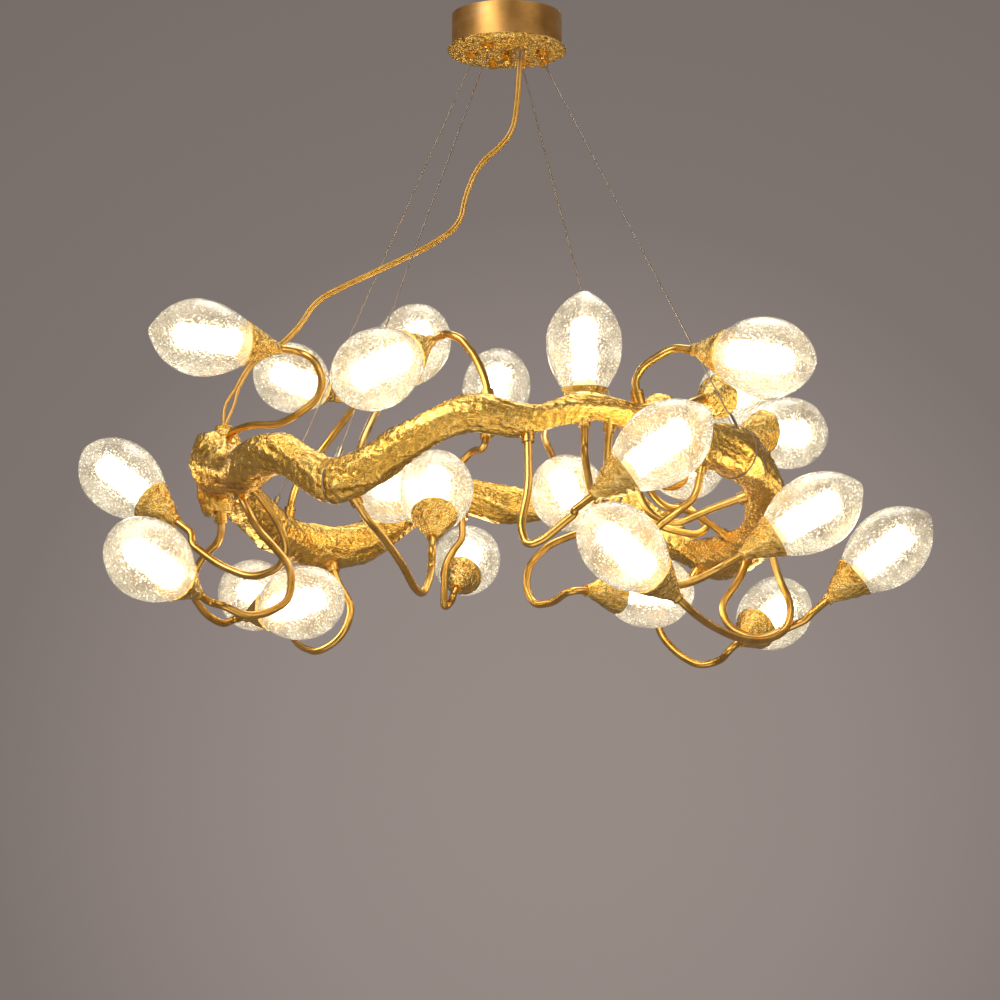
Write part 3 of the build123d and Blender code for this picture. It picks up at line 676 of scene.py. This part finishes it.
class CHANDELIER_OT_cups(Operator):
    """Crumpled cast cups under the glasses"""

    bl_idname = "chandelier.cups"
    bl_label = "Cups"

    def execute(self, context):
        lights = settings().lights
        (rim, top), (shoulder, start) = CUP_RIM, CUP_SHOULDER
        outer = [(0.0065, 0.0), (0.0066, 0.0026), (0.0066, 0.0050), CUP_SHOULDER]
        outer += [(shoulder + (rim - shoulder) * t ** 0.92, start + (top - start) * t) for t in CUP_GRADES]
        inner = [(0.0228, 0.0400), (0.0204, 0.0322), (0.0172, 0.0318), (0.0116, 0.0200), (0.0070, 0.0101),
                 (CUP_BORE, 0.0100)]
        outline = outer + inner + [(CUP_BORE, 0.0)]

        def wobble(number, turn, radius, height):
            if (radius, height) in inner or height < 0.001:
                return 0.0, 0.5
            here = Vector((radius * math.cos(turn), radius * math.sin(turn), height))
            here = here * 130 + Vector((number * 7.3, 0, number * 2.1))
            dent = noise.turbulence(here, 3, True)
            fade = min(1.0, height / 0.010) * (0.45 if height > 0.039 else 1.0)
            # The second value is painted shade: the deeper a dent, the darker its gold
            return -lights.cup_crumple * fade * dent, 1.1 - 0.9 * dent

        mesh = spun("cups_cast", outline, lights.sides, wobble)
        finish = gold_leaf_finish("gilded_cup", True, 240.0, 0.0022)
        add_piece("cups_cast", mesh, "ring", finish, "leaf_brass", "cups")
        return {"FINISHED"}


class CHANDELIER_OT_glasses(Operator):
    """Seeded glass shades"""

    bl_idname = "chandelier.glasses"
    bl_label = "Glasses"

    def execute(self, context):
        lights = settings().lights
        outline = glass_wall(0.0) + list(reversed(glass_wall(GLASS_WALL)))

        def wobble(number, turn, radius, height):
            return glass_sway(number, turn, height), 0.5

        mesh = spun("glass_shades", outline, lights.sides, wobble)
        piece = add_piece("glass_shades", mesh, "ring", seeded_glass_finish(), "glass", "shades")
        piece.visible_shadow = False
        return {"FINISHED"}


class CHANDELIER_OT_seeds(Operator):
    """Small bubbles inside the wall of each glass"""

    bl_idname = "chandelier.seeds"
    bl_label = "Seeds"

    def execute(self, context):
        lights = settings().lights
        chance = random.Random(24)
        wall = [spot for spot in glass_wall(GLASS_WALL / 2) if spot[1] > 0.044]
        steps = list(zip(wall, wall[1:]))
        spans = [math.dist(a, b) * (a[0] + b[0]) for a, b in steps]
        corners = [Vector(c) for c in ((1, 0, 0), (-1, 0, 0), (0, 1, 0), (0, -1, 0), (0, 0, 1), (0, 0, -1))]
        faces = ((0, 2, 4), (2, 1, 4), (1, 3, 4), (3, 0, 4), (2, 0, 5), (1, 2, 5), (3, 1, 5), (0, 3, 5))
        verts, tris = [], []
        for number, light in enumerate(LIGHTS):
            for low, high in chance.choices(steps, spans, k=lights.seeds):
                part = chance.random()
                turn = chance.uniform(0, 2 * math.pi)
                height = low[1] + (high[1] - low[1]) * part
                reach = low[0] + (high[0] - low[0]) * part + glass_sway(number, turn, height)
                spot = light @ Vector((reach * math.cos(turn), reach * math.sin(turn), height))
                size = lights.seed_size * (0.4 + 0.6 * chance.random() ** 2)
                first = len(verts)
                verts.extend(tuple(spot + corner * size) for corner in corners)
                tris.extend(tuple(first + index for index in face) for face in faces)
        mesh = bpy.data.meshes.new("glass_seeds")
        mesh.from_pydata(verts, [], tris)
        piece = add_piece("glass_seeds", smooth(mesh), "ring", seed_finish(), "glass")
        piece.visible_shadow = False
        return {"FINISHED"}


class CHANDELIER_OT_lamps(Operator):
    """Lit lamps and their holders"""

    bl_idname = "chandelier.lamps"
    bl_label = "Lamps"

    def execute(self, context):
        paint("lamps", lamp_finish())
        # The holder's glow of 0.35 is painted lamp light
        paint("lampholders", moulded_finish("lamp_holder", (0.95, 0.78, 0.45), 0.35, 0.35))
        return {"FINISHED"}


class CHANDELIER_OT_canopy(Operator):
    """Canopy drum, crumpled plate and what hangs from it"""

    bl_idname = "chandelier.canopy"
    bl_label = "Canopy"

    def execute(self, context):
        colours = settings().colours
        paint("canopy_drum", turned_finish("drum_brass", colours.drum, 0.33, 260.0, 0.15))
        plate = remeshed(joined_nodes("plate_cast", ("canopy_plate",)), PLATE_MESH)
        ridge = []
        for vert in plate.vertices:
            dent = noise.turbulence(vert.co * 150, 3, True)
            # Painted shade: darker where the crumple dents deeper
            ridge.append(0.95 - 0.8 * dent)
            if vert.co.z < PLATE_TOP:
                vert.co.z += PLATE_DENT * min(dent, 1.0) * max(0.0, -vert.normal.z)
                push = PLATE_EDGE_DENT * min(dent, 1.0) * math.hypot(vert.normal.x, vert.normal.y)
                vert.co.xy -= vert.co.xy.normalized() * push
        shade = plate.attributes.new("ridge", "FLOAT", "POINT")
        shade.data.foreach_set("value", ridge)
        leaf = gold_leaf_finish("crumpled_plate", True, 260.0, 0.0022)
        add_piece("plate_cast", smooth(plate), "canopy", leaf, "leaf_brass", "canopy_plate")
        polished = turned_finish("polished_brass_turned", colours.gold, 0.10, 120.0)
        for node in ("ball_nut", "blanking_plugs", "gripper_bodies") + NIPPLE_NODES:
            paint(node, polished)
        steel = steel_finish("bracket_steel", (0.60, 0.59, 0.57), 0.0)
        for node in ("ceiling_bracket", "canopy_rod", "gripper_nuts"):
            paint(node, steel)
        paint("terminal_block", moulded_finish("terminal_plastic", (0.82, 0.80, 0.74), 0.40))
        gland, tree, shader = new_finish("clear_gland", Transmission_Weight=0.85, IOR=1.45)
        haze = grain(tree, place_of(tree), 260.0, 2.0)
        feed(tree, shader, Base_Color=haze.tinted((0.3, (0.86, 0.74, 0.50)), (0.7, (0.97, 0.90, 0.76))),
             Roughness=0.10 + haze * 0.2, Normal=bump(tree, haze, 0.0003, 0.5))
        paint("cord_gland", gland)
        return {"FINISHED"}


class CHANDELIER_OT_cables(Operator):
    """Stranded suspension cables, their clamps and slings"""

    bl_idname = "chandelier.cables"
    bl_label = "Cables"

    def execute(self, context):
        strand = steel_finish("stranded_steel", (0.46, 0.39, 0.31), 900.0)
        for node in CABLE_NODES + ("cable_slings",):
            paint(node, strand)
        paint("cable_clamps", steel_finish("clamp_steel", (0.66, 0.62, 0.54), 0.0))
        return {"FINISHED"}


class CHANDELIER_OT_cord(Operator):
    """Twin power cord from the gland to the stump"""

    bl_idname = "chandelier.cord"
    bl_label = "Cord"

    def execute(self, context):
        sizes = settings().cord
        low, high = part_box("cord_cap")
        cap = Vector(((low.x + high.x) / 2, (low.y + high.y) / 2, high.z))
        stops = [Vector(p) for p in CORD_ROUTE] + [cap + Vector((0, 0, 0.009)), cap + Vector((0, 0, -0.008))]
        curve = bpy.data.curves.new("cord_line", "CURVE")
        curve.dimensions = "3D"
        curve.resolution_u = 10
        spline = curve.splines.new("NURBS")
        spline.points.add(len(stops) - 1)
        for point, stop in zip(spline.points, stops):
            point.co = (*stop, 1.0)
        spline.order_u = 3
        spline.use_endpoint_u = True
        holder = bpy.data.objects.new("cord_line", curve)
        bpy.context.scene.collection.objects.link(holder)
        drawn = bpy.data.meshes.new_from_object(holder)
        path = [vert.co.copy() for vert in drawn.vertices]
        bpy.data.objects.remove(holder)
        bpy.data.meshes.remove(drawn)

        made = bmesh.new()
        side = Vector((1, 0, 0))
        travelled = [0.0]
        for a, b in zip(path, path[1:]):
            travelled.append(travelled[-1] + (b - a).length)
        total = travelled[-1]
        half = sizes.width / 2 - sizes.lobe
        rows = {1: [], -1: []}
        for index, point in enumerate(path):
            ahead = (path[min(index + 1, len(path) - 1)] - path[max(index - 1, 0)]).normalized()
            side = (side - ahead * side.dot(ahead)).normalized()
            up = ahead.cross(side)
            left = total - travelled[index]
            apart = half
            if SPLIT_END < left < SPLIT_START:
                swell = math.sin(math.pi * (left - SPLIT_END) / (SPLIT_START - SPLIT_END))
                apart = half + (sizes.split - half) * swell ** 1.5
            if left <= SPLIT_END:
                apart = half * 0.75
            for sign in (1, -1):
                middle_point = point + side * (sign * apart)
                ring = []
                for step in range(CORD_SIDES):
                    turn = 2 * math.pi * step / CORD_SIDES
                    ring.append(made.verts.new(middle_point + side * (sizes.lobe * math.cos(turn))
                                               + up * (sizes.lobe * math.sin(turn))))
                rows[sign].append(ring)
        for sign in (1, -1):
            rings = rows[sign]
            for low_ring, high_ring in zip(rings, rings[1:]):
                for step in range(CORD_SIDES):
                    after = (step + 1) % CORD_SIDES
                    made.faces.new((low_ring[step], low_ring[after], high_ring[after], high_ring[step]))
            made.faces.new(list(reversed(rings[0])))
            made.faces.new(rings[-1])
        last_web = max(i for i, t in enumerate(travelled) if total - t > SPLIT_START)
        for index in range(last_web):
            web = [rows[s][i][step] for i in (index, index + 1)
                   for s, step in ((1, 5), (1, 7), (-1, 1), (-1, 11))]
            made.faces.new((web[0], web[2], web[6], web[4]))
            made.faces.new((web[1], web[5], web[7], web[3]))
        bmesh.ops.recalc_face_normals(made, faces=made.faces)
        mesh = bpy.data.meshes.new("twin_cord")
        made.to_mesh(mesh)
        made.free()
        piece = add_piece("twin_cord", smooth(mesh), None, cord_finish(), "cord", "power_cord")
        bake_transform(piece)
        return {"FINISHED"}


class CHANDELIER_OT_stage(Operator):
    """Backdrop, studio lights and camera"""

    bl_idname = "chandelier.stage"
    bl_label = "Stage"

    def execute(self, context):
        scene = context.scene
        backdrop = Vector(settings().colours.backdrop)
        world = bpy.data.worlds.new("backdrop")
        scene.world = world
        world.use_nodes = True
        tree = world.node_tree
        back = tree.nodes["Background"]
        # The camera, metal and glass see a backdrop with a painted pool of light behind the object, a little
        # darker all round
        rays = tree.nodes.new("ShaderNodeLightPath")
        seen = Wire(rays.outputs["Is Camera Ray"])
        for kind in ("Is Glossy Ray", "Is Transmission Ray"):
            seen = seen.maths("MAXIMUM", seen, Wire(rays.outputs[kind]))
        towards = Wire.node(tree, "ShaderNodeTexCoord", out="Generated")
        pool = Wire.node(tree, "ShaderNodeVectorMath", {"operation": "DOT_PRODUCT"},
                         {0: towards, 1: LIGHT_POOL_DIRECTION}, out="Value")
        shade = pool.tinted(*((cosine, backdrop * share) for cosine, share in LIGHT_POOL_SHADES))
        flat = Wire.node(tree, "ShaderNodeBackground", None, {"Color": shade, "Strength": 1.0})
        back.inputs["Color"].default_value = SOFT_LIGHT
        back.inputs["Strength"].default_value = SOFT_LIGHT_STRENGTH
        mixed = Wire.node(tree, "ShaderNodeMixShader", None, {0: seen, 1: Wire(back.outputs[0]), 2: flat})
        tree.links.new(mixed.socket, tree.nodes["World Output"].inputs["Surface"])

        for name, spot, size, power, tint in (
                ("key", (-1.7, -2.3, 1.1), 1.6, 48.0, (1.0, 0.95, 0.88)),
                ("fill", (2.2, -2.2, -0.2), 1.8, 15.0, (1.0, 0.92, 0.82)),
                ("crown", (0.3, 0.9, 1.7), 1.4, 24.0, (1.0, 0.96, 0.90)),
                ("bounce", (0.0, -1.3, -2.0), 1.6, 10.0, (1.0, 0.88, 0.72))):
            lamp = bpy.data.lights.new(name, "AREA")
            lamp.size = size
            lamp.energy = power
            lamp.color = tint
            light = bpy.data.objects.new(name, lamp)
            scene.collection.objects.link(light)
            light.location = spot
            light.visible_camera = False
            light.rotation_euler = (STUDIO_AIM - Vector(spot)).to_track_quat("-Z", "Y").to_euler()

        lens = bpy.data.cameras.new("view")
        lens.sensor_fit = "HORIZONTAL"
        lens.sensor_width = 36.0
        lens.lens = VIEW_LENS
        lens.clip_end = 50.0
        camera = bpy.data.objects.new("view", lens)
        scene.collection.objects.link(camera)
        camera.location = VIEW_PLACE
        camera.rotation_euler = (VIEW_TILT, 0.0, 0.0)
        scene.camera = camera
        scene.view_settings.view_transform = "Standard"
        return {"FINISHED"}


class CHANDELIER_PT_panel(Panel):
    bl_idname = "CHANDELIER_PT_panel"
    bl_label = "Branch chandelier"
    bl_space_type = "VIEW_3D"
    bl_region_type = "UI"
    bl_category = "Chandelier"

    def draw(self, context):
        column = self.layout.column()
        for operator in OPERATORS:
            column.operator(operator.bl_idname)
        for group in ("bark", "lights", "cord", "colours"):
            box = column.box()
            values = getattr(context.scene.chandelier, group)
            for name in values.__annotations__:
                box.prop(values, name)


GROUPS = (BarkSizes, LightSizes, CordSizes, FinishColours, ChandelierSettings)
OPERATORS = (CHANDELIER_OT_branch, CHANDELIER_OT_arms, CHANDELIER_OT_cups, CHANDELIER_OT_glasses,
             CHANDELIER_OT_seeds, CHANDELIER_OT_lamps, CHANDELIER_OT_canopy, CHANDELIER_OT_cables,
             CHANDELIER_OT_cord, CHANDELIER_OT_stage)


def register():
    for piece in GROUPS + OPERATORS + (CHANDELIER_PT_panel,):
        bpy.utils.register_class(piece)
    bpy.types.Scene.chandelier = PointerProperty(type=ChandelierSettings)


def unregister():
    del bpy.types.Scene.chandelier
    for piece in reversed(GROUPS + OPERATORS + (CHANDELIER_PT_panel,)):
        bpy.utils.unregister_class(piece)


def main():
    register()
    bpy.ops.chandelier.branch()
    bpy.ops.chandelier.arms()
    bpy.ops.chandelier.cups()
    bpy.ops.chandelier.glasses()
    bpy.ops.chandelier.seeds()
    bpy.ops.chandelier.lamps()
    bpy.ops.chandelier.canopy()
    bpy.ops.chandelier.cables()
    bpy.ops.chandelier.cord()
    bpy.ops.chandelier.stage()


if __name__ == "__main__":
    main()
